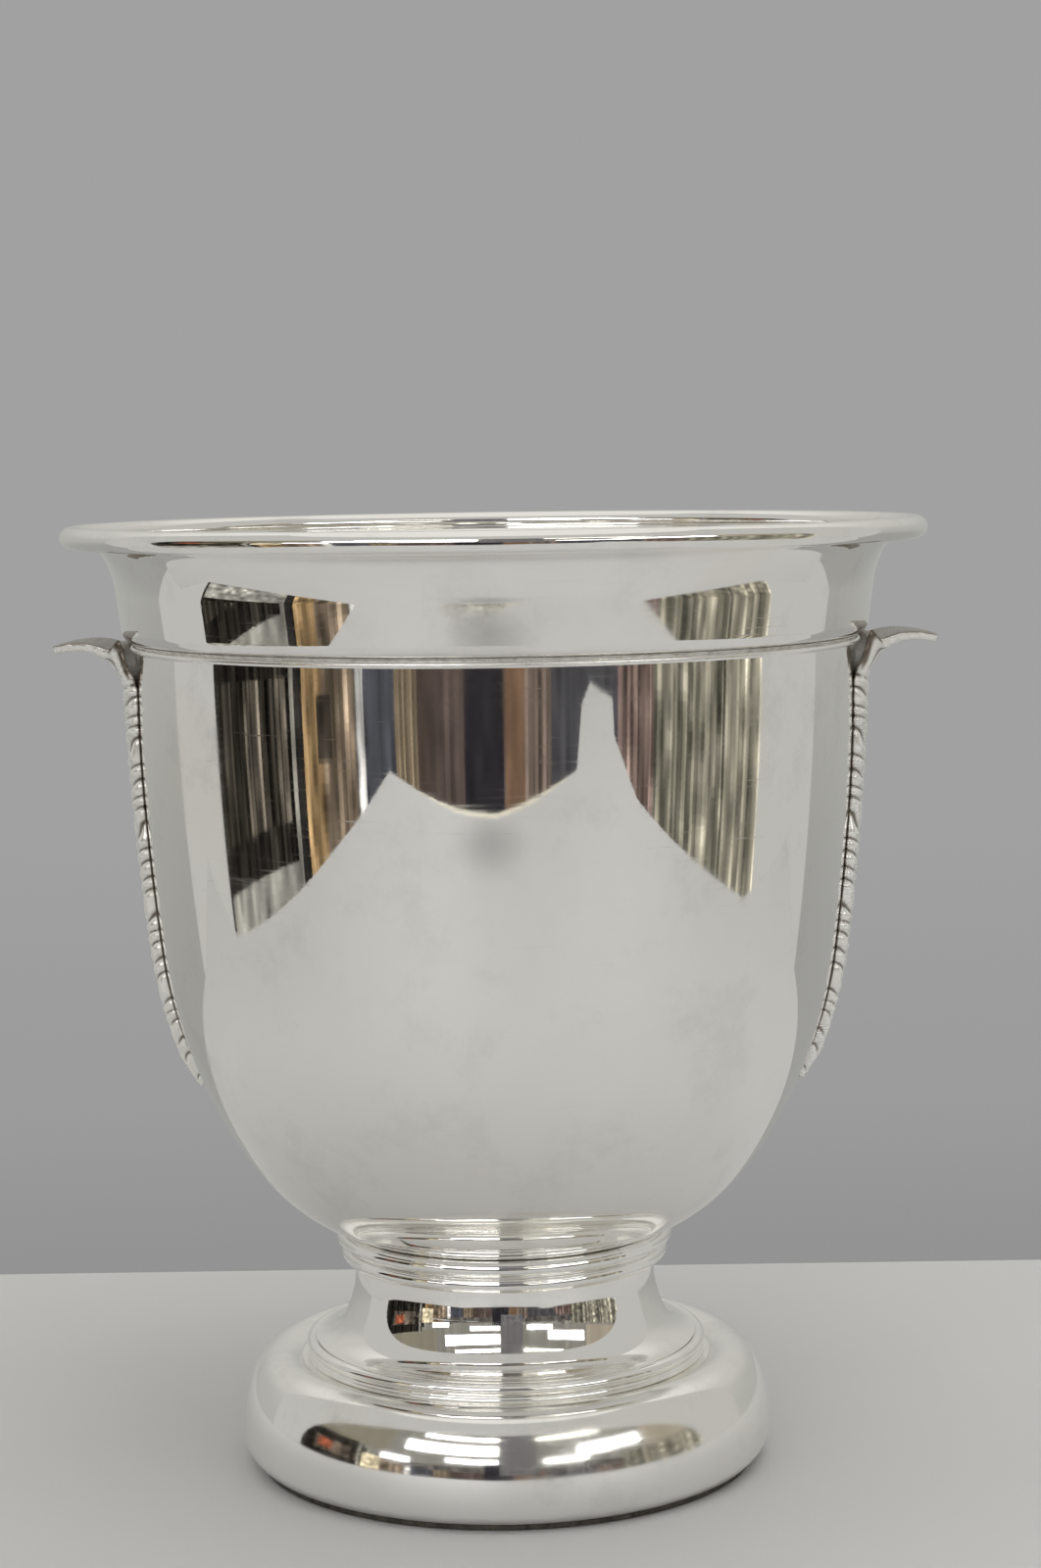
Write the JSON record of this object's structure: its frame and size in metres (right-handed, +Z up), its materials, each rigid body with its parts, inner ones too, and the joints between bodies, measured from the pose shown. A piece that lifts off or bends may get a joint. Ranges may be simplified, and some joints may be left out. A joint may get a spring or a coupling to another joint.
{
  "type": "champagne bucket",
  "caption": "Footed silver-plated champagne bucket: spun bowl, flared wired rim, cast leaf grips, stepped rings and a cushion foot.",
  "frame": {"origin": "centre of the base, on the surface the bucket stands on", "axes": "+Z up the bucket's axis to the rim; the two grips lie on +X and -X; it is seen from -Y"},
  "size_m": [0.256, 0.25, 0.2773],
  "materials": {
    "silver_spun": "polished",
    "silver_wire": "polished",
    "silver_cast": "polished",
    "brass_fixing": "satin"
  },
  "bodies": {
    "root": {"bowl": "silver_spun", "neck": "silver_spun", "rim_wire": "silver_wire", "seam_wire": "silver_wire", "handle_left": "silver_cast", "handle_right": "silver_cast", "upper_ring": "silver_wire", "stem": "silver_spun", "lower_ring": "silver_wire", "foot": "silver_spun", "base_wire": "silver_wire", "tie_stud": "brass_fixing", "clamp_plate": "brass_fixing", "washer": "brass_fixing", "nut": "brass_fixing"}
  },
  "joints": []
}
